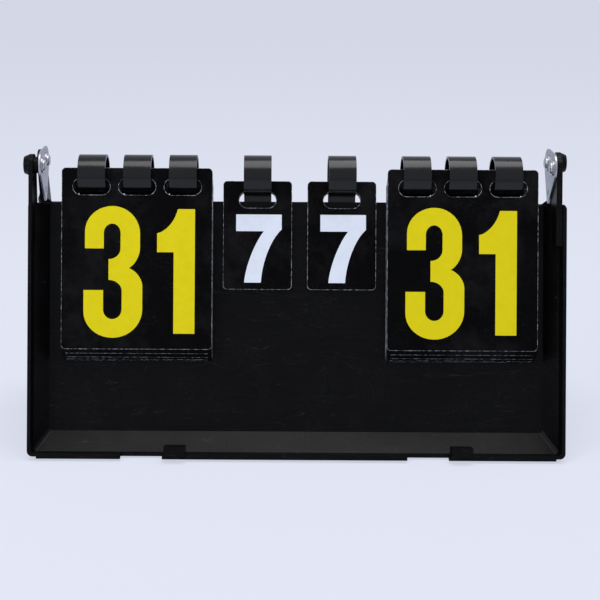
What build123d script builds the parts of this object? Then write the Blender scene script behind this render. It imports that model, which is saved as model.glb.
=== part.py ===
from build123d import *
import math
import os

# Tabletop flip scoreboard: two equal moulded trays, joined along the top by a two-pivot hinge at each end,
# stand as a tent with their open sides outwards. Eight strap rings on the front tray carry four card stacks.
# X to the right, Y to the rear, Z up, origin on the table under the middle. Millimetres.

# ---- the tent ----
SPLAY = 18.0  # each tray's lean from upright, degrees
TRAY_GAP = 2.0  # between the trays' top edges
SEAM_GAP = 0.3  # between the rims when the case is shut

# ---- tray moulding, in its own frame: x right, v up from its lower edge, w out from the floor's outside ----
TRAY_WIDTH = 385.0
TRAY_HEIGHT = 184.0
TRAY_DEPTH = 25.0
WALL = 2.5
SIDE_SLOPE = 9.5  # how far the side walls lean in at the floor
FOOT_SLOPE = 14.0  # the same for the lower wall
KNEE_DEPTH = 12.0  # above the floor's outside, where the sloped stretch ends
TRAY_CORNER_R = 4.0
BEAD_DROP = 1.5  # the rim's bead below the lower wall
BEAD_DEPTH = 4.0
BEAD_HALF = 186.0
FOOT_FLAT = 0.8  # shaved off the knee so that the tray stands on a flat

# ---- latches in the lower rim: a tab and a notch that takes the other tray's tab ----
TAB_WIDTH = 15.0
TAB_HEIGHT = 9.5
TAB_REACH = 4.5  # past the rim
TAB_ROOT = 9.0  # inside the rim
NOTCH_WIDTH = 30.0
NOTCH_DEPTH = 6.0
LATCH_NEAR = 79.5  # from the middle to the pair's near edge
LATCH_FAR = 126.0  # and to its far edge

# ---- hinges ----
PIVOT_FROM_RIM = 8.4
EAR_R = 8.0
EAR_THICKNESS = 4.2
OUTER_EAR_THICKNESS = 2.9
EAR_ROOT = 30.0  # how far the ear runs down the side wall
EAR_ROOT_MARGIN = 1.5
BOSS_HEIGHT = 4.1
BOSS_TIP_R = 6.2
SPACER_R = 6.0
LAYER_GAP = 0.2
LINK_THICKNESS = 1.2
LINK_R = 10.4
LINK_TIP_R = 3.0
LINK_DROP = 25.3
LINK_SLOT_DROP = 20.1
LINK_SLOT_LENGTH = 5.0
LINK_SLOT_WIDTH = 2.4
RIVET_R = 2.5
RIVET_RUNNING_GAP = 0.06
RIVET_HEAD_R = 4.2
RIVET_HEAD_HEIGHT = 1.6
RIVET_END_INSET = 0.6
WASHER_R = 5.9
WASHER_THICKNESS = 0.8

# ---- rings ----
RING_R = 15.0
RING_WALL = 1.7
RING_WIDTH = 20.0
RING_DROP = 5.6  # ring centres below the pivots, along the tray
NECK_THICKNESS = 3.0
NECK_BITE = 0.8  # how far the neck runs into the strap
RING_BAR_HEIGHT = 2.2
RING_BAR_HALF = 166.0
CARD_SHIFT = 2.0  # the whole card set sits this far right of the tray's middle
GROUP_CENTRE = 117.7  # of the three rings of a score stack
RING_PITCH = 33.0
SET_CENTRE = 30.7  # of the single ring of a set stack

# ---- cards ----
SCORE_WIDTH, SCORE_HEIGHT = 109.0, 131.0
SET_WIDTH, SET_HEIGHT = 50.0, 79.0
SCORE_COUNT, SET_COUNT = 32, 8
CARD_THICKNESS = 0.3
SCORE_PITCH, SET_PITCH = 0.365, 0.45
LEAF_GAP = 0.5  # between the front card and the rest of its stack
CARD_TO_FLOOR = 0.3
CARD_CORNER_R = 3.0
SLOT_WIDTH, SLOT_HEIGHT = 27.0, 12.0
SLOT_INSET = 7.6  # from the card's top edge
HANG_GAP = 0.3  # between a slot's upper edge and the strap

# ---- bare label on the front tray's floor ----
LABEL_WIDTH, LABEL_HEIGHT, LABEL_THICKNESS = 91.0, 32.0, 0.3
LABEL_BOTTOM = 35.0

# ---- worked out ----
LEAN = math.radians(SPLAY)
TRAY_HALF = TRAY_WIDTH / 2
PIVOT_W = TRAY_DEPTH - PIVOT_FROM_RIM
PIVOT_Y = PIVOT_FROM_RIM + SEAM_GAP / 2
# the pivot stands above the floor's top edge by what puts that edge half a gap from the middle plane
PIVOT_RISE = (PIVOT_W * math.cos(LEAN) - PIVOT_Y + TRAY_GAP / 2) / math.sin(LEAN)
PIVOT_V = TRAY_HEIGHT + PIVOT_RISE
FOOT_LEVEL = BEAD_DROP * math.cos(LEAN) + KNEE_DEPTH * math.sin(LEAN) + FOOT_FLAT
TRAY_Y = -PIVOT_Y - PIVOT_V * math.sin(LEAN) + PIVOT_W * math.cos(LEAN)
TRAY_PLACE = Plane(
    origin=(0, TRAY_Y, -FOOT_LEVEL), x_dir=(1, 0, 0), z_dir=(0, -math.cos(LEAN), math.sin(LEAN))
)
PIVOT_Z = PIVOT_V * math.cos(LEAN) + PIVOT_W * math.sin(LEAN) - FOOT_LEVEL

RING_W = WALL  # ring centres stand over the floor's inner face
RING_V = PIVOT_V - RING_DROP
RING_INNER_R = RING_R - RING_WALL
BAR_TOP = TRAY_HEIGHT + RING_BAR_HEIGHT
HANG_R = RING_INNER_R - HANG_GAP
# a slot's round ends come down to the strap's edges, which is where a card bears
SLOT_END_R = SLOT_HEIGHT / 2
STRAP_PAST_STRAIGHT = RING_WIDTH / 2 - (SLOT_WIDTH - SLOT_HEIGHT) / 2
SLOT_END_DROP = SLOT_END_R - math.sqrt(SLOT_END_R**2 - STRAP_PAST_STRAIGHT**2)

OUTER_EAR_FACE = -TRAY_HALF
OUTER_EAR_BACK = OUTER_EAR_FACE + OUTER_EAR_THICKNESS
INNER_EAR_FACE = OUTER_EAR_BACK + LAYER_GAP
INNER_EAR_BACK = INNER_EAR_FACE + EAR_THICKNESS
LINK_FACE = INNER_EAR_BACK + LAYER_GAP
LINK_BACK = LINK_FACE + LINK_THICKNESS
WASHER_BACK = LINK_BACK + WASHER_THICKNESS


def block(x0, x1, v0, v1, w0, w1):
    """A box between two corners."""
    centre = Pos((x0 + x1) / 2, (v0 + v1) / 2, (w0 + w1) / 2)
    return centre * Box(abs(x1 - x0), abs(v1 - v0), abs(w1 - w0))


def side_slab(profile, x0, x1):
    """A profile drawn in (v, w), or (Y, Z), made solid from x0 to x1."""
    side = Plane(origin=(x0, 0, 0), x_dir=(0, 1, 0), z_dir=(1, 0, 0))
    return extrude(side * profile, amount=x1 - x0)


def disc(radius, v, w):
    return Pos(v, w) * Circle(radius)


def in_place(solid):
    """Carries a solid from the front tray's frame into the tent."""
    return solid.moved(TRAY_PLACE.location)


def turned_round(solid):
    """The same piece on the other side of the tent."""
    return solid.rotate(Axis.Z, 180)


def dish(inset, top):
    """The tray's form: a rounded rectangle that widens from the floor to the knee, then runs straight to the rim."""
    corner_r = TRAY_CORNER_R - inset / 2
    half = TRAY_HALF - inset
    low = BEAD_DROP + inset
    floor_half = half - SIDE_SLOPE
    floor_low = low + FOOT_SLOPE
    floor = Pos(0, (floor_low + top) / 2, inset) * RectangleRounded(2 * floor_half, top - floor_low, corner_r)
    knee_w = KNEE_DEPTH + inset / 2
    knee = Pos(0, (low + top) / 2, knee_w) * RectangleRounded(2 * half, top - low, corner_r)
    return loft([floor, knee]) + extrude(knee, amount=TRAY_DEPTH + inset - knee_w)


def ear_profile(radius):
    """A round eye about the pivot that widens downwards into the side wall."""
    root = TRAY_HEIGHT - EAR_ROOT
    arm = Polygon(
        (root, KNEE_DEPTH),
        (TRAY_HEIGHT - EAR_ROOT_MARGIN, EAR_ROOT_MARGIN + WALL),
        (PIVOT_V, PIVOT_W - radius),
        (PIVOT_V, PIVOT_W + radius),
        (root, TRAY_DEPTH - EAR_ROOT_MARGIN),
        align=None,
    )
    return arm + disc(radius, PIVOT_V, PIVOT_W)


def outer_ear():
    """The left ear: it carries on the side wall's line, with a boss outside and a spacer inside."""
    ear = side_slab(ear_profile(EAR_R), OUTER_EAR_FACE, OUTER_EAR_BACK)
    eye = disc(EAR_R, PIVOT_V, PIVOT_W)
    tip = disc(BOSS_TIP_R, PIVOT_V, PIVOT_W)
    outside = Plane(origin=(OUTER_EAR_FACE - BOSS_HEIGHT, 0, 0), x_dir=(0, 1, 0), z_dir=(1, 0, 0))
    wall_side = Plane(origin=(OUTER_EAR_FACE, 0, 0), x_dir=(0, 1, 0), z_dir=(1, 0, 0))
    boss = loft([outside * tip, wall_side * eye])
    spacer = side_slab(disc(SPACER_R, PIVOT_V, PIVOT_W), OUTER_EAR_BACK, INNER_EAR_BACK)
    return ear + boss + spacer


def inner_ear():
    """The right ear: it steps inside the side wall, so that the other tray's outer ear passes it."""
    ear = side_slab(ear_profile(EAR_R), -INNER_EAR_BACK, -INNER_EAR_FACE)
    root = TRAY_HEIGHT - EAR_ROOT
    step = block(-INNER_EAR_BACK, TRAY_HALF - WALL / 2, root, TRAY_HEIGHT - EAR_ROOT_MARGIN,
                 KNEE_DEPTH, TRAY_DEPTH - EAR_ROOT_MARGIN)
    return ear + step


def tray():
    """One moulded tray in its own frame."""
    shell = dish(0, TRAY_HEIGHT) - dish(WALL, TRAY_HEIGHT + EAR_ROOT)
    shell += block(-BEAD_HALF, BEAD_HALF, 0, BEAD_DROP + WALL, TRAY_DEPTH - BEAD_DEPTH, TRAY_DEPTH)
    shell += outer_ear() + inner_ear()
    shell -= side_slab(disc(RIVET_R + RIVET_RUNNING_GAP, PIVOT_V, PIVOT_W), -2 * TRAY_HALF, 2 * TRAY_HALF)
    for near_is_tab, side in ((True, -1), (False, 1)):
        tab_near = LATCH_NEAR if near_is_tab else LATCH_FAR - TAB_WIDTH
        notch_near = LATCH_FAR - NOTCH_WIDTH if near_is_tab else LATCH_NEAR
        shell -= block(side * notch_near, side * (notch_near + NOTCH_WIDTH), -1, BEAD_DROP + 2 * WALL,
                       TRAY_DEPTH - NOTCH_DEPTH, TRAY_DEPTH + 1)
        shell += block(side * tab_near, side * (tab_near + TAB_WIDTH), BEAD_DROP + WALL / 2, TAB_HEIGHT,
                       TRAY_DEPTH - TAB_ROOT, TRAY_DEPTH + TAB_REACH)
    # below this level, in the tent, the knee is shaved flat
    foot_cut = Pos(0, 0, -TRAY_DEPTH) * Box(3 * TRAY_HALF, 6 * TRAY_DEPTH, 2 * TRAY_DEPTH)
    foot_cut = foot_cut.moved(TRAY_PLACE.location.inverse() * Pos(0, TRAY_Y, 0))
    return shell - foot_cut


def link():
    """The left hinge plate: a rounded triangle over the two pivots, tip down, with an oblong hole."""
    eyes = disc(LINK_R, -PIVOT_Y, PIVOT_Z) + disc(LINK_R, PIVOT_Y, PIVOT_Z)
    tip_z = PIVOT_Z - LINK_DROP
    # the plate's straight sides run tangent from each eye to the tip
    run = math.hypot(PIVOT_Y, LINK_DROP)
    turn = math.atan2(LINK_DROP, PIVOT_Y) - math.asin((LINK_R - LINK_TIP_R) / run)
    out_y, out_z = math.sin(turn), -math.cos(turn)
    web = Polygon(
        (-PIVOT_Y - LINK_R * out_y, PIVOT_Z + LINK_R * out_z),
        (-LINK_TIP_R * out_y, tip_z + LINK_TIP_R * out_z),
        (LINK_TIP_R * out_y, tip_z + LINK_TIP_R * out_z),
        (PIVOT_Y + LINK_R * out_y, PIVOT_Z + LINK_R * out_z),
        (PIVOT_Y, PIVOT_Z + LINK_R),
        (-PIVOT_Y, PIVOT_Z + LINK_R),
        align=None,
    )
    profile = eyes + web + disc(LINK_TIP_R, 0, tip_z)
    for y in (-PIVOT_Y, PIVOT_Y):
        profile -= disc(RIVET_R, y, PIVOT_Z)
    oblong = SlotOverall(LINK_SLOT_LENGTH, LINK_SLOT_WIDTH, rotation=90)
    profile -= Pos(0, PIVOT_Z - LINK_SLOT_DROP) * oblong
    return side_slab(profile, LINK_FACE, LINK_BACK)


def washer(y):
    ring = disc(WASHER_R, y, PIVOT_Z) - disc(RIVET_R, y, PIVOT_Z)
    return side_slab(ring, LINK_BACK, WASHER_BACK)


def rivet(y, far_end):
    """A domed head on the washer and a shank through the washer, the plate and the ear."""
    shank = side_slab(disc(RIVET_R, y, PIVOT_Z), far_end + RIVET_END_INSET, WASHER_BACK)
    head = side_slab(disc(RIVET_HEAD_R, y, PIVOT_Z), WASHER_BACK, WASHER_BACK + RIVET_HEAD_HEIGHT)
    head = fillet(head.edges().group_by(Axis.X)[-1], RIVET_HEAD_HEIGHT * 0.8)
    return shank + head


def ring(x):
    """A wide strap ring and its neck, down to the bar, in the tray's frame."""
    band = disc(RING_R, RING_V, RING_W) - disc(RING_INNER_R, RING_V, RING_W)
    neck_top = RING_V - RING_R + NECK_BITE
    neck = Pos((neck_top + BAR_TOP) / 2, WALL / 2) * Rectangle(neck_top - BAR_TOP, NECK_THICKNESS)
    return side_slab(band + neck, x - RING_WIDTH / 2, x + RING_WIDTH / 2)


def card(x, width, height, depth, slots):
    """A card with stadium slots, hung on the straps: depth is its middle plane in front of the ring centres."""
    slot_top = RING_V - math.sqrt(HANG_R**2 - (depth + CARD_THICKNESS / 2) ** 2) + SLOT_END_DROP
    top = slot_top + SLOT_INSET
    sheet = Pos(x, top - height / 2) * RectangleRounded(width, height, CARD_CORNER_R)
    for slot_x in slots:
        sheet -= Pos(slot_x, slot_top - SLOT_HEIGHT / 2) * SlotOverall(SLOT_WIDTH, SLOT_HEIGHT)
    return extrude(Pos(0, 0, RING_W + depth - CARD_THICKNESS / 2) * sheet, amount=CARD_THICKNESS)


def stack(name, x, width, height, count, pitch, slots):
    """A stack's cards: the pack that lies on the tray, and the front leaf a little way off it."""
    first = CARD_TO_FLOOR + CARD_THICKNESS / 2
    pack = [card(x, width, height, first + i * pitch, slots) for i in range(count - 1)]
    leaf_depth = first + (count - 2) * pitch + CARD_THICKNESS + LEAF_GAP
    leaf = card(x, width, height, leaf_depth, slots)
    return {name + "_pack": [in_place(c) for c in pack], name + "_leaf": [in_place(leaf)]}


def ring_places():
    """Ring names and their x, left to right."""
    places = {}
    for side, sign in (("left", -1), ("right", 1)):
        for label, step in (("inner", -1), ("middle", 0), ("outer", 1)):
            places[f"ring_score_{side}_{label}"] = CARD_SHIFT + sign * (GROUP_CENTRE + step * RING_PITCH)
        places[f"ring_set_{side}"] = CARD_SHIFT + sign * SET_CENTRE
    return places


def all_nodes():
    nodes = {}
    moulding = in_place(tray())
    nodes["front_tray"] = [moulding]
    nodes["rear_tray"] = [turned_round(moulding)]
    nodes["ring_bar"] = [in_place(block(CARD_SHIFT - RING_BAR_HALF, CARD_SHIFT + RING_BAR_HALF,
                                        TRAY_HEIGHT, BAR_TOP, 0, WALL))]
    places = ring_places()
    for name, x in places.items():
        nodes[name] = [in_place(ring(x))]
    for side in ("left", "right"):
        score_x = places[f"ring_score_{side}_middle"]
        slots = [x for name, x in places.items() if name.startswith(f"ring_score_{side}")]
        nodes.update(stack(f"score_{side}", score_x, SCORE_WIDTH, SCORE_HEIGHT, SCORE_COUNT, SCORE_PITCH, slots))
        set_x = places[f"ring_set_{side}"]
        nodes.update(stack(f"set_{side}", set_x, SET_WIDTH, SET_HEIGHT, SET_COUNT, SET_PITCH, [set_x]))
    long_rivet = rivet(-PIVOT_Y, OUTER_EAR_FACE - BOSS_HEIGHT)
    short_rivet = rivet(PIVOT_Y, INNER_EAR_FACE)
    nodes["hinge_plate_left"] = [link()]
    nodes["hinge_plate_right"] = [turned_round(link())]
    nodes["rivet_front_left"] = [long_rivet]
    nodes["rivet_rear_left"] = [short_rivet]
    nodes["rivet_rear_right"] = [turned_round(long_rivet)]
    nodes["rivet_front_right"] = [turned_round(short_rivet)]
    nodes["washer_front_left"] = [washer(-PIVOT_Y)]
    nodes["washer_rear_left"] = [washer(PIVOT_Y)]
    nodes["washer_rear_right"] = [turned_round(washer(-PIVOT_Y))]
    nodes["washer_front_right"] = [turned_round(washer(PIVOT_Y))]
    nodes["label"] = [in_place(block(CARD_SHIFT - LABEL_WIDTH / 2, CARD_SHIFT + LABEL_WIDTH / 2, LABEL_BOTTOM,
                                     LABEL_BOTTOM + LABEL_HEIGHT, WALL, WALL + LABEL_THICKNESS))]
    return nodes


os.makedirs("parts", exist_ok=True)
for node, shapes in all_nodes().items():
    solids = [solid for shape in shapes for solid in shape.solids()]
    print(node, len(solids))
    export_step(solids[0] if len(solids) == 1 else Compound(children=solids), f"parts/{node}.step")
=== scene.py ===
import math

import bpy
import numpy as np
from mathutils import Matrix, Vector


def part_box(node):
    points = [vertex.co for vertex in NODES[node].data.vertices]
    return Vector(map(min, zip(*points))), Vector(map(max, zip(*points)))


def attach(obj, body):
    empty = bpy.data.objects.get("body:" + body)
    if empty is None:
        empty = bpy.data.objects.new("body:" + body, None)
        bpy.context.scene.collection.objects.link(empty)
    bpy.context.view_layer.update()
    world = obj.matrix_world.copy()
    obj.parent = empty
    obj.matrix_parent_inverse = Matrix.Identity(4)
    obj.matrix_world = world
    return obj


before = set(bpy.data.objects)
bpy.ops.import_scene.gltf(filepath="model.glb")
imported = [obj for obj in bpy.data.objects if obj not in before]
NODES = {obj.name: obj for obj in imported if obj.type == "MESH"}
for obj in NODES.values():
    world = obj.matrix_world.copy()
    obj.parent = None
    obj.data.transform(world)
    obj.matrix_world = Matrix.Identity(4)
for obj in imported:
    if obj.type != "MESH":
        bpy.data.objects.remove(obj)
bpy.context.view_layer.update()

MM = 0.001

# ---- the tray's own directions: across, up the lean, and out of its open side ----
SPLAY = math.radians(18.0)
TRAY_UP = Vector((0, math.sin(SPLAY), math.cos(SPLAY)))
TRAY_OUT = Vector((0, -math.cos(SPLAY), math.sin(SPLAY)))
ACROSS = Vector((1, 0, 0))


def node_points(name):
    """A CAD node's vertices, one row each."""
    mesh = NODES[name].data
    points = np.zeros(len(mesh.vertices) * 3)
    mesh.vertices.foreach_get("co", points)
    return points.reshape(-1, 3)


# ======== shader maths ========
class Value:
    """A shader socket that takes part in sums."""

    def __init__(self, tree, socket):
        self.tree = tree
        self.socket = socket

    def math(self, operation, other):
        node = self.tree.nodes.new("ShaderNodeMath")
        node.operation = operation
        for slot, term in zip(node.inputs, (self, other)):
            plug(self.tree, slot, term)
        return Value(self.tree, node.outputs[0])

    def __add__(self, other):
        return self.math("ADD", other)

    __radd__ = __add__

    def __mul__(self, other):
        return self.math("MULTIPLY", other)


def plug(tree, slot, term):
    if isinstance(term, Value):
        tree.links.new(term.socket, slot)
    else:
        slot.default_value = term


COLOUR_MIX_INPUTS = (0, 6, 7)  # the factor and the two colours
COLOUR_MIX_OUTPUT = 2


class Shader:
    """One material, with short ways to add its nodes."""

    def __init__(self, name):
        self.material = bpy.data.materials.new(name)
        self.material.use_nodes = True
        self.tree = self.material.node_tree
        self.surface = self.tree.nodes["Principled BSDF"]

    def node(self, kind, values=None, out=0):
        node = self.tree.nodes.new(kind)
        for key, term in (values or {}).items():
            plug(self.tree, node.inputs[key], term)
        return Value(self.tree, node.outputs[out])

    def place(self):
        return self.node("ShaderNodeTexCoord", out="Object")

    def noise(self, scale, detail=4.0, roughness=0.5, where=None):
        vector = where or self.place()
        values = {"Vector": vector, "Scale": scale, "Detail": detail, "Roughness": roughness}
        return self.node("ShaderNodeTexNoise", values=values, out="Fac")

    def ramp(self, value, *stops):
        """Grey levels over a value. A stop is (place, level)."""
        node = self.tree.nodes.new("ShaderNodeValToRGB")
        elements = node.color_ramp.elements
        while len(elements) < len(stops):
            elements.new(1.0)
        for element, (place, level) in zip(elements, stops):
            element.position = place
            element.color = (level, level, level, 1)
        plug(self.tree, node.inputs["Fac"], value)
        return Value(self.tree, node.outputs["Color"])

    def mix(self, share, first, second):
        node = self.tree.nodes.new("ShaderNodeMix")
        node.data_type = "RGBA"
        for socket, term in zip(COLOUR_MIX_INPUTS, (share, first, second)):
            plug(self.tree, node.inputs[socket], term)
        return Value(self.tree, node.outputs[COLOUR_MIX_OUTPUT])

    def bump(self, height, strength, distance):
        values = {"Height": height, "Strength": strength, "Distance": distance}
        return self.node("ShaderNodeBump", values=values)

    def set(self, **sockets):
        for key, term in sockets.items():
            plug(self.tree, self.surface.inputs[key.replace("_", " ")], term)
        return self.material

    def dust(self, scale, amount):
        """Sparse pale specks: the peaks of a fine noise, kept where a broad noise is high."""
        specks = self.ramp(self.noise(scale, 2.0), (0.66, 0.0), (0.72, 1.0))
        patches = self.ramp(self.noise(scale * 0.02, 3.0), (0.42, 0.0), (0.68, 1.0))
        return specks * patches * amount

    def scratches(self, amount):
        """Fine hair lines: thin level bands of a noise that is stretched along the tray."""
        values = {"Vector": self.place(), "Rotation": (0.3, 0.2, 0.5), "Scale": (6.0, 60.0, 60.0)}
        where = self.node("ShaderNodeMapping", values=values)
        lines = self.noise(3.0, 1.0, 0.4, where)
        return self.ramp(lines, (0.496, 0.0), (0.5, 1.0), (0.504, 0.0)) * amount


def tray_plastic():
    """Black injection-moulded plastic: a soft sheen, faint hair scratches, dust and a fine skin."""
    s = Shader("moulded_black_plastic")
    marks = s.dust(2600, 0.35) + s.scratches(0.06)
    colour = s.mix(marks, (0.0012, 0.0012, 0.0013, 1), (0.25, 0.25, 0.27, 1))
    smudge = s.noise(24, 5.0)
    rough = 0.24 + smudge * 0.22
    height = s.noise(900, 3.0) + s.noise(9, 2.0) * 1.5
    skin = s.bump(height, 0.12, 0.0004)
    return s.set(Base_Color=colour, Roughness=rough, Specular_IOR_Level=0.09, Normal=skin)


def strap_plastic():
    """The rings' smoother black plastic, glossy across the band."""
    s = Shader("glossy_strap_plastic")
    marks = s.dust(3200, 0.25)
    colour = s.mix(marks, (0.0008, 0.0010, 0.0012, 1), (0.3, 0.3, 0.32, 1))
    rough = 0.14 + s.noise(60, 4.0) * 0.12
    skin = s.bump(s.noise(500, 3.0), 0.1, 0.0003)
    return s.set(Base_Color=colour, Roughness=rough, Specular_IOR_Level=0.34, Normal=skin)


def card_sheet():
    """Printed black sheet: a fine matt grain with faint rubs and pale dust."""
    s = Shader("printed_card_sheet")
    rubs = s.ramp(s.noise(14, 6.0, 0.7), (0.5, 0.0), (0.8, 0.05))
    marks = s.dust(2400, 0.3) + rubs
    colour = s.mix(marks, (0.0010, 0.0010, 0.0011, 1), (0.25, 0.25, 0.27, 1))
    rough = 0.42 + s.noise(40, 4.0) * 0.2
    grain = s.bump(s.noise(1500, 2.0), 0.08, 0.0002)
    return s.set(Base_Color=colour, Roughness=rough, Specular_IOR_Level=0.035, Normal=grain)


def card_edge():
    """The pale cut edge of the laminated sheet, worn in places down to the white core. The same paint also
    makes the pale strips on card faces, which are partly a painted edge highlight.
    """
    s = Shader("worn_card_edge_and_highlight")
    wear = s.ramp(s.noise(420, 5.0, 0.65), (0.44, 0.0), (0.62, 1.0))
    colour = s.mix(wear, (0.012, 0.012, 0.014, 1), (0.42, 0.44, 0.48, 1))
    return s.set(Base_Color=colour, Roughness=0.6)


def print_ink(name, colour, shade):
    """Screen-printed ink: an even colour with slight mottle and a soft grain."""
    s = Shader(name)
    mottle = s.ramp(s.noise(160, 5.0), (0.35, 0.0), (0.75, 0.35))
    mixed = s.mix(mottle, colour, shade)
    rough = 0.42 + s.noise(90, 3.0) * 0.15
    grain = s.bump(s.noise(1400, 2.0), 0.06, 0.0002)
    return s.set(Base_Color=mixed, Roughness=rough, Specular_IOR_Level=0.06, Normal=grain)


def zinc_plate():
    """Zinc-plated pressed steel: mid grey with cloudy patches and a fine rolled grain."""
    s = Shader("zinc_plated_steel")
    clouds = s.noise(70, 5.0, 0.6)
    colour = s.mix(clouds, (0.30, 0.31, 0.33, 1), (0.52, 0.53, 0.56, 1))
    stretch = s.node("ShaderNodeMapping", values={"Vector": s.place(), "Scale": (1.0, 40.0, 900.0)})
    grain = s.noise(3.0, 3.0, 0.5, stretch)
    rough = 0.26 + clouds * 0.2
    return s.set(Base_Color=colour, Metallic=1.0, Roughness=rough, Normal=s.bump(grain, 0.12, 0.0002))


def rivet_metal():
    """Turned rivet metal, a little paler than the plates."""
    s = Shader("rivet_metal")
    clouds = s.noise(220, 4.0)
    colour = s.mix(clouds, (0.34, 0.35, 0.37, 1), (0.60, 0.61, 0.63, 1))
    return s.set(Base_Color=colour, Metallic=1.0, Roughness=0.24 + clouds * 0.2)


TRAY = tray_plastic()
STRAP = strap_plastic()
SHEET = card_sheet()
# the pale edge paint: real worn edge on the cut faces, partly a painted edge highlight on the face strips
EDGE_WEAR_AND_HIGHLIGHT = card_edge()
YELLOW = print_ink("yellow_ink", (0.72, 0.61, 0.008, 1), (0.62, 0.51, 0.006, 1))
WHITE = print_ink("white_ink", (0.74, 0.78, 0.86, 1), (0.60, 0.64, 0.72, 1))
ZINC = zinc_plate()
RIVET = rivet_metal()


def dress(name, material):
    """Gives a CAD node its finish."""
    slots = NODES[name].data.materials
    slots.clear()
    slots.append(material)


FACE_SHARE = 0.7  # a card's face whose normal lies less than this along TRAY_OUT is a cut edge


def dress_card(name):
    """A card node: printed faces, and the pale cut edge where a face looks sideways."""
    mesh = NODES[name].data
    mesh.materials.clear()
    mesh.materials.append(SHEET)
    mesh.materials.append(EDGE_WEAR_AND_HIGHLIGHT)
    normals = np.zeros(len(mesh.polygons) * 3)
    mesh.polygons.foreach_get("normal", normals)
    facing = np.abs(normals.reshape(-1, 3) @ np.array(TRAY_OUT))
    mesh.polygons.foreach_set("material_index", (facing < FACE_SHARE).astype(np.int32))
    mesh.update()


for node in NODES:
    if node.startswith(("score_", "set_")):
        dress_card(node)
    elif node.startswith(("ring_score", "ring_set")):
        dress(node, STRAP)
    elif node.startswith("hinge_plate"):
        dress(node, ZINC)
    elif node.startswith(("rivet", "washer")):
        dress(node, RIVET)
    else:
        dress(node, TRAY)


# ======== digits: outlines in millimetres, from the digit's lower left ========
def bend(start, corner, end, steps=10):
    """Points of a quarter-ellipse from start to end that leaves and arrives along the lines to the corner."""
    t = np.linspace(0, math.pi / 2, steps + 1)[1:, None]
    start, corner, end = (np.array(p, float) for p in (start, corner, end))
    middle = start + end - corner
    return middle + (corner - end) * np.cos(t) + (corner - start) * np.sin(t)


def outline(*moves):
    """A closed outline. A move is a point, or (corner, end) for a round stretch to that end."""
    points = [np.array(moves[0], float)]
    for move in moves[1:]:
        if isinstance(move[0], tuple):
            points.extend(bend(points[-1], *move))
        else:
            points.append(np.array(move, float))
    return np.array(points)


def three():
    """Two lobes: the outer edge from the upper left terminal clockwise, then back along the counters."""
    return [outline(
        (0.9, 64.5), (0.9, 76.8), ((0.9, 95.2), (20.8, 95.2)), ((40.7, 95.2), (40.7, 75.0)), (40.7, 65.0),
        ((40.7, 54.5), (32.6, 50.4)), ((42.5, 47.0), (42.5, 37.0)), (42.5, 20.5),
        ((42.5, 0.0), (20.8, 0.0)), ((0.0, 0.0), (0.0, 19.0)), (0.0, 34.4),
        (14.2, 34.4), (14.2, 20.5), ((14.2, 13.5), (20.8, 13.5)), ((27.6, 13.5), (27.6, 20.5)), (27.6, 34.0),
        ((27.6, 41.8), (18.0, 41.8)), (18.0, 56.8),
        ((26.6, 56.8), (26.6, 64.5)), (26.6, 75.5), ((26.6, 82.5), (20.6, 82.5)),
        ((14.5, 82.5), (14.5, 75.5)), (14.5, 64.5))]


def one():
    """A stem whose top curves out to the left into the flag."""
    return [outline(
        (12.0, 0.0), (27.3, 0.0), (27.3, 90.0), (14.9, 90.0), ((11.5, 74.5), (0.0, 72.5)), (0.0, 58.8),
        (12.0, 58.8))]


def seven():
    """A bar over a leg that curves down to its foot."""
    return [outline(
        (6.0, 0.0), (18.2, 0.0), ((19.5, 27.0), (33.2, 38.8)), (33.2, 49.7), (0.0, 49.7), (0.0, 37.5),
        (20.2, 37.5), ((7.5, 21.0), (6.0, 0.0)))]


def oval(x0, x1, y0, y1, straight):
    """A rounded box with two straight sides of the given length."""
    middle_x, middle_y = (x0 + x1) / 2, (y0 + y1) / 2
    low, high = middle_y - straight / 2, middle_y + straight / 2
    return outline(
        (x0, low), (x0, high), ((x0, y1), (middle_x, y1)), ((x1, y1), (x1, high)), (x1, low),
        ((x1, y0), (middle_x, y0)), ((x0, y0), (x0, low)))


def zero():
    return [oval(0.0, 42.5, 0.0, 95.2, 46.0), oval(14.4, 28.1, 13.5, 81.7, 54.0)]


def six():
    """A set card's six: one heavy outline with an open upper arm, and the lower bowl's counter."""
    body = outline(
        (33.2, 35.4), (33.2, 37.0), ((33.2, 49.7), (16.8, 49.7)), ((0.0, 49.7), (0.0, 36.0)), (0.0, 13.5),
        ((0.0, 0.0), (16.8, 0.0)), ((33.2, 0.0), (33.2, 13.0)), (33.2, 19.0), ((33.2, 31.0), (19.0, 31.0)),
        ((13.5, 31.0), (11.5, 28.4)), (11.5, 36.5), ((11.5, 42.0), (16.8, 42.0)),
        ((21.6, 42.0), (21.6, 37.0)), (21.6, 35.4))
    return [body, oval(11.5, 21.7, 7.7, 23.6, 6.0)]


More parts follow.
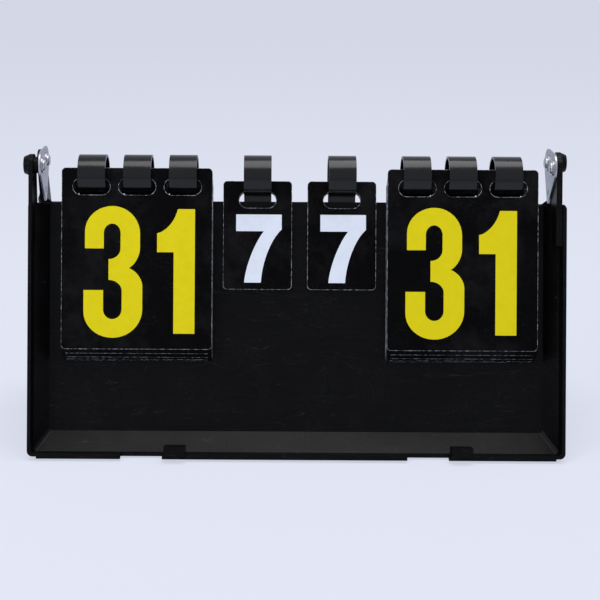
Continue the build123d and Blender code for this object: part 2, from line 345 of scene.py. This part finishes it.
def print_mesh(name, glyphs, origin, across, up, out, lift, material, body):
    """Fills flat outlines with faces and lays them on a card. A glyph is (outlines, left x) in mm."""
    curve = bpy.data.curves.new(name, "CURVE")
    curve.dimensions = "2D"
    curve.fill_mode = "BOTH"
    for shapes, left in glyphs:
        for points in shapes:
            spline = curve.splines.new("POLY")
            spline.points.add(len(points) - 1)
            flat = np.zeros((len(points), 4), np.float32)
            flat[:, :2] = (points + np.array([left, 0.0])) * MM
            flat[:, 3] = 1.0
            spline.points.foreach_set("co", flat.ravel())
            spline.use_cyclic_u = True
    holder = bpy.data.objects.new(name + "_outline", curve)
    bpy.context.scene.collection.objects.link(holder)
    bpy.context.view_layer.update()
    mesh = bpy.data.meshes.new_from_object(holder.evaluated_get(bpy.context.evaluated_depsgraph_get()))
    bpy.data.objects.remove(holder)
    place = Matrix((
        (across.x, up.x, out.x, 0), (across.y, up.y, out.y, 0), (across.z, up.z, out.z, 0), (0, 0, 0, 1)))
    mesh.transform(Matrix.Translation(origin + out * lift) @ place)
    face_out = sum(((p.normal.dot(out)) * p.area for p in mesh.polygons), 0.0)
    if face_out < 0:
        mesh.flip_normals()
    mesh.materials.clear()
    mesh.materials.append(material)
    piece = bpy.data.objects.new(name, mesh)
    bpy.context.scene.collection.objects.link(piece)
    solid = piece.modifiers.new("ink", "SOLIDIFY")
    solid.thickness = INK
    solid.offset = 1.0
    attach(piece, body)


INK = 0.00004
PRINT_LIFT = 0.00001  # between the card's face and the ink
PARALLEL_SLACK = 0.00005
# in millimetres, the lefts from the card's middle line and the lows above its lower edge
SCORE_PRINT_LEFT = {"left": -38.4, "right": -41.2}
SCORE_PRINT_LOW = 8.2
ONE_STEP = 53.0  # from the three's left to the one's
ONE_RISE = 3.2
THIRTY_SHIFT = -3.0
ZERO_STEP = 46.0
SET_PRINT_LEFT = -15.6
SET_PRINT_LOW = 5.0


def card_face(node, front):
    """The lower middle point of a card node's outermost face, on its front or its back."""
    points = node_points(node)
    depth = points @ np.array(TRAY_OUT)
    level = depth.max() if front else depth.min()
    face = points[np.abs(depth - level) < PARALLEL_SLACK]
    height = face @ np.array(TRAY_UP)
    middle = (face[:, 0].min() + face[:, 0].max()) / 2
    return Vector((middle, 0, 0)) + TRAY_UP * height.min() + TRAY_OUT * level


def print_card(node, label, digits, front, low, left, material, body):
    """Prints digits on one face of a card; seen from that face they read left to right."""
    across = ACROSS if front else -ACROSS
    out = TRAY_OUT if front else -TRAY_OUT
    origin = card_face(node, front) + TRAY_UP * (low * MM) + across * (left * MM)
    print_mesh(label, digits, origin, across, TRAY_UP, out, PRINT_LIFT, material, body)


ONE_RAISED = [points + np.array([0.0, ONE_RISE]) for points in one()]
THIRTY_ONE = [(three(), 0.0), (ONE_RAISED, ONE_STEP)]
THIRTY = [(three(), THIRTY_SHIFT), (zero(), ZERO_STEP)]
SEVEN, SIX = [(seven(), 0.0)], [(six(), 0.0)]
for side in ("left", "right"):
    score_left = SCORE_PRINT_LEFT[side]
    prints = (
        ("score", "digits_31", THIRTY_ONE, "digits_30", THIRTY, SCORE_PRINT_LOW, score_left, YELLOW),
        ("set", "digit_7", SEVEN, "digit_6", SIX, SET_PRINT_LOW, SET_PRINT_LEFT, WHITE))
    for kind, label, digits, next_label, next_digits, low, left, ink in prints:
        stack = f"{kind}_{side}_"
        leaf, pack = stack + "leaf", stack + "pack"
        print_card(leaf, stack + label, digits, True, low, left, ink, leaf)
        print_card(leaf, stack + label + "_reverse", next_digits, False, low, left, ink, leaf)
        print_card(pack, stack + next_label, next_digits, True, low, left, ink, "front_tray")


# ======== the pale edge that shows as a hairline round each card: partly the worn white core, partly a painted edge highlight ===
LINE_WIDTH = 0.24
CORNER_R = 3.0
SLOT_HALF_STRAIGHT = 7.5
SLOT_R = 6.0
SLOT_INSET = 7.6  # from the card's top to the slot's
PACK_LINE = 0.16
LINE_EVERY = 14  # sheet faces between two lines that show


def rounded(x0, x1, y0, y1, r):
    """A rectangle with quarter-round corners."""
    return outline(
        (x0, y0 + r), (x0, y1 - r), ((x0, y1), (x0 + r, y1)), (x1 - r, y1), ((x1, y1), (x1, y1 - r)),
        (x1, y0 + r), ((x1, y0), (x1 - r, y0)), (x0 + r, y0), ((x0, y0), (x0, y0 + r)))


def wear_and_highlight_lines(node, label, slot_centres, body):
    """Pale lines round a front card: its outline and each slot's, each the gap between two outlines. They are
    partly the worn white core and partly a painted edge highlight.
    """
    foot = card_face(node, True)
    points = node_points(node)
    half = (points[:, 0].max() - points[:, 0].min()) / 2 / MM
    heights = points @ np.array(TRAY_UP)
    tall = (heights.max() - heights.min()) / MM
    w = LINE_WIDTH
    inner = rounded(-half + w, half - w, w, tall - w, CORNER_R - w)
    shapes = [rounded(-half, half, 0, tall, CORNER_R), inner]
    top = tall - SLOT_INSET
    for centre in slot_centres:
        x = centre - foot.x / MM
        for grow in (w, 0.0):
            wide, radius = SLOT_HALF_STRAIGHT + SLOT_R + grow, SLOT_R + grow
            shapes.append(rounded(x - wide, x + wide, top - 2 * SLOT_R - grow, top + grow, radius))
    # the pale strips are painted on the face: partly the worn white core, partly a painted edge highlight
    print_mesh(label, [(shapes, 0.0)], foot, ACROSS, TRAY_UP, TRAY_OUT, PRINT_LIFT, EDGE_WEAR_AND_HIGHLIGHT, body)


def pack_wear_and_highlight_lines(node, label):
    """Pale lines along the lower edges of some of a pack's cards: low strips at every few sheet faces, partly
    the worn white core and partly a painted edge highlight.
    """
    points = node_points(node)
    depth = points @ np.array(TRAY_OUT)
    height = points @ np.array(TRAY_UP)
    levels = np.unique(np.round(depth / PARALLEL_SLACK).astype(int))[1::LINE_EVERY] * PARALLEL_SLACK
    left, right = points[:, 0].min() + CORNER_R * MM, points[:, 0].max() - CORNER_R * MM
    corners, faces = [], []
    for level in levels:
        on_card = np.abs(depth - level) < PARALLEL_SLACK
        low = height[on_card].min()
        for x, rise in ((left, 0), (right, 0), (right, PACK_LINE), (left, PACK_LINE)):
            corners.append(ACROSS * x + TRAY_UP * (low + rise * MM) + TRAY_OUT * (depth[on_card].max() + INK))
        faces.append(tuple(range(len(corners) - 4, len(corners))))
    lines = bpy.data.meshes.new(label)
    lines.from_pydata([tuple(c) for c in corners], [], faces)
    # the edge paint on these strips is partly the worn white core, partly a painted edge highlight
    lines.materials.append(EDGE_WEAR_AND_HIGHLIGHT)
    piece = bpy.data.objects.new(label, lines)
    bpy.context.scene.collection.objects.link(piece)
    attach(piece, "front_tray")


for side in ("left", "right"):
    for kind in ("score", "set"):
        straps = [n for n in NODES if n.startswith(f"ring_{kind}_{side}")]
        centres = [sum(c.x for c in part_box(n)) / 2 / MM for n in straps]
        wear_and_highlight_lines(f"{kind}_{side}_leaf", f"{kind}_{side}_edge_lines", centres, f"{kind}_{side}_leaf")
        pack_wear_and_highlight_lines(f"{kind}_{side}_pack", f"{kind}_{side}_pack_edge_lines")


# ======== floor, background and light ========
def level_square(name, half, z):
    """A level square about the origin."""
    mesh = bpy.data.meshes.new(name)
    corners = [(-half, -half, z), (half, -half, z), (half, half, z), (-half, half, z)]
    mesh.from_pydata(corners, [], [(0, 1, 2, 3)])
    piece = bpy.data.objects.new(name, mesh)
    bpy.context.scene.collection.objects.link(piece)
    return piece


FLOOR_HALF = 14.0
FLOOR_LEVEL = -0.0002
FLOOR_SEEN = (0.76, 0.79, 0.90, 1)
FLOOR_SHARE = 0.72


def pale_floor():
    """A pale surface that keeps shadows, with a part of its paleness its own to the camera alone."""
    s = Shader("pale_floor")
    material = s.set(Base_Color=(0.70, 0.73, 0.83, 1), Roughness=0.9, Specular_IOR_Level=0.05)
    glow = s.node("ShaderNodeEmission", values={"Color": FLOOR_SEEN, "Strength": 1.0})
    seen = s.node("ShaderNodeLightPath", out="Is Camera Ray")
    share = seen * FLOOR_SHARE
    blend = s.node("ShaderNodeMixShader", values={0: share, 1: Value(s.tree, s.surface.outputs[0]), 2: glow})
    s.tree.links.new(blend.socket, s.tree.nodes["Material Output"].inputs["Surface"])
    return material


floor = level_square("floor", FLOOR_HALF, FLOOR_LEVEL)
floor.data.materials.append(pale_floor())

LIGHT_LEVEL = 0.62  # the world's strength as light
SHOWN_LEVEL = 0.97  # and as the camera sees it
GLOSSY_SHARE = 0.55  # how far a reflection goes from the one to the other
world = bpy.data.worlds.new("studio")
world.use_nodes = True
bpy.context.scene.world = world
tree = world.node_tree
path = tree.nodes.new("ShaderNodeLightPath")
seen = Value(tree, path.outputs["Is Camera Ray"]) + Value(tree, path.outputs["Is Glossy Ray"]) * GLOSSY_SHARE
seen = seen + Value(tree, path.outputs["Is Transmission Ray"])
plain = tree.nodes["Background"]
plain.inputs["Color"].default_value = (0.80, 0.83, 0.93, 1)
plug(tree, plain.inputs["Strength"], seen * (SHOWN_LEVEL - LIGHT_LEVEL) + LIGHT_LEVEL)


def soft_lamp(name, place, target, size, power):
    lamp = bpy.data.lights.new(name, "AREA")
    lamp.shape = "RECTANGLE"
    lamp.size, lamp.size_y = size
    lamp.energy = power
    holder = bpy.data.objects.new(name, lamp)
    holder.location = place
    holder.rotation_euler = (Vector(target) - Vector(place)).to_track_quat("-Z", "Y").to_euler()
    bpy.context.scene.collection.objects.link(holder)


soft_lamp("overhead", (0.1, -0.1, 1.6), (0, 0, 0.1), (1.4, 0.9), 16)
soft_lamp("front_left", (-1.3, -1.2, 1.0), (0, 0, 0.1), (0.8, 0.8), 9)

# ======== camera: square to the front tray ========
VIEW_DISTANCE = 0.9  # from the rim's plane
PIXELS_PER_MM = 1.40  # at the rim
FRAME_PIXELS = 600
VANTAGE_PX = (272.0, 300.0)  # where the line of sight meets the picture
TRAY_MIDDLE_PX = 297.0
LOWER_EDGE_PX = 460.0
ROLL = math.radians(0.33)
SENSOR = 36.0
LATCH_REACH = 0.0045  # how far the latch tabs stand past the rim

tray_points = node_points("front_tray")
lower_edge = (tray_points @ np.array(TRAY_UP)).min()
rim_level = (tray_points @ np.array(TRAY_OUT)).max() - LATCH_REACH
aim = ACROSS * ((VANTAGE_PX[0] - TRAY_MIDDLE_PX) / PIXELS_PER_MM * MM)
aim += TRAY_UP * (lower_edge + (LOWER_EDGE_PX - VANTAGE_PX[1]) / PIXELS_PER_MM * MM)
aim += TRAY_OUT * rim_level
camera_data = bpy.data.cameras.new("camera")
camera_data.sensor_width = SENSOR
camera_data.lens = PIXELS_PER_MM * VIEW_DISTANCE / MM / FRAME_PIXELS * SENSOR
camera_data.shift_x = (FRAME_PIXELS / 2 - VANTAGE_PX[0]) / FRAME_PIXELS
camera_data.shift_y = (VANTAGE_PX[1] - FRAME_PIXELS / 2) / FRAME_PIXELS
camera_data.clip_start = 0.05
camera = bpy.data.objects.new("camera", camera_data)
facing = Matrix((
    (ACROSS.x, TRAY_UP.x, TRAY_OUT.x), (ACROSS.y, TRAY_UP.y, TRAY_OUT.y), (ACROSS.z, TRAY_UP.z, TRAY_OUT.z)))
camera.matrix_world = (
    Matrix.Translation(aim + TRAY_OUT * VIEW_DISTANCE) @ facing.to_4x4() @ Matrix.Rotation(ROLL, 4, "Z"))
bpy.context.scene.collection.objects.link(camera)
bpy.context.scene.camera = camera
bpy.context.scene.view_settings.view_transform = "Standard"
